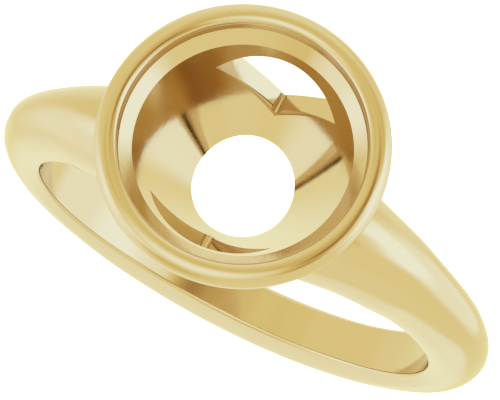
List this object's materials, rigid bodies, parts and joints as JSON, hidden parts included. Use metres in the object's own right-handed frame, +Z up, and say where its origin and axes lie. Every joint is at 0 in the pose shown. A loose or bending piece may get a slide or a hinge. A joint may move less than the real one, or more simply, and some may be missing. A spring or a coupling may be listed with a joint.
{
  "type": "bezel ring mounting",
  "caption": "Ring with a tapered domed band whose shoulders widen into a round bezel cup with V-shaped side windows, open for a stone.",
  "frame": {"origin": "on the surface, under the middle of the box of the ring lying on its side", "axes": "+Z up, +Y from the back of the band towards the head, +X across the finger hole"},
  "size_m": [0.0214, 0.0254, 0.0102],
  "materials": {
    "gold": "polished yellow gold"
  },
  "bodies": {
    "root": {"ring_mounting": "gold"}
  },
  "joints": []
}
